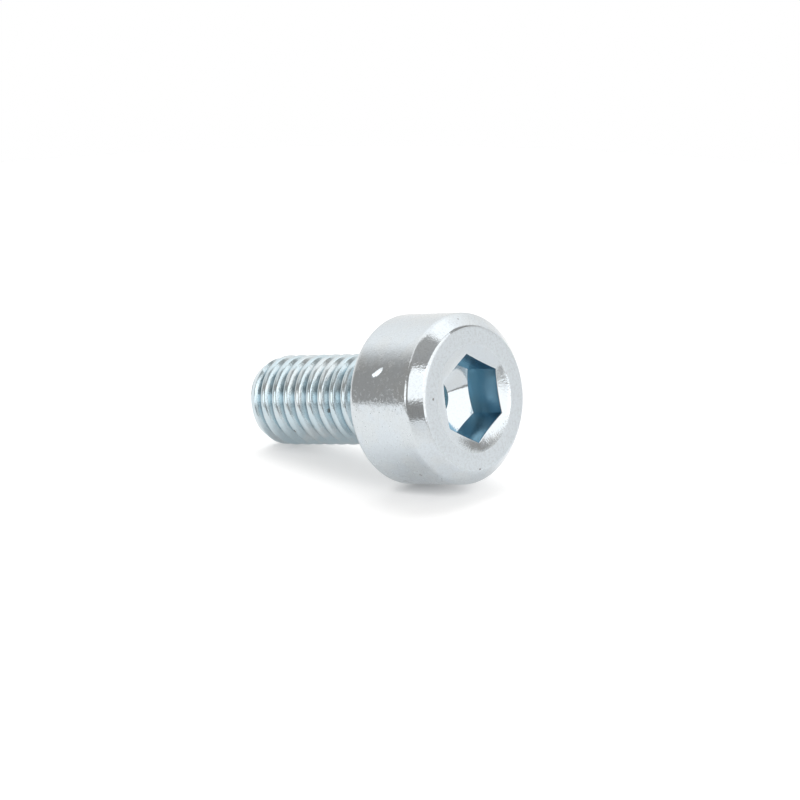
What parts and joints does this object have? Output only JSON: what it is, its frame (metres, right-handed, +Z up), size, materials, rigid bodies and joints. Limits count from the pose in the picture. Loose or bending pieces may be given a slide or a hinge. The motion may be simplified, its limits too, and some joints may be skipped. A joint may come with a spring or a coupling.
{
  "type": "hexagon socket head cap screw",
  "caption": "Short zinc-plated cap screw with a smooth cylindrical head, a hexagon socket and a right-hand thread along its whole shank.",
  "frame": {"origin": "on the surface that the screw lies on, under the middle of its box", "axes": "+X towards the head's end, +Y across the screw, +Z up; the screw lies at rest on the edge under its head and the start of its point, so its axis is in the XZ plane and rises 12.2 degrees towards the head"},
  "size_m": [0.0096, 0.0054, 0.0059],
  "materials": {
    "zinc_plate": "bright zinc plate with a clear, slightly blue passivation on forged and thread-rolled steel"
  },
  "bodies": {
    "root": {"screw": "zinc_plate"}
  },
  "joints": []
}
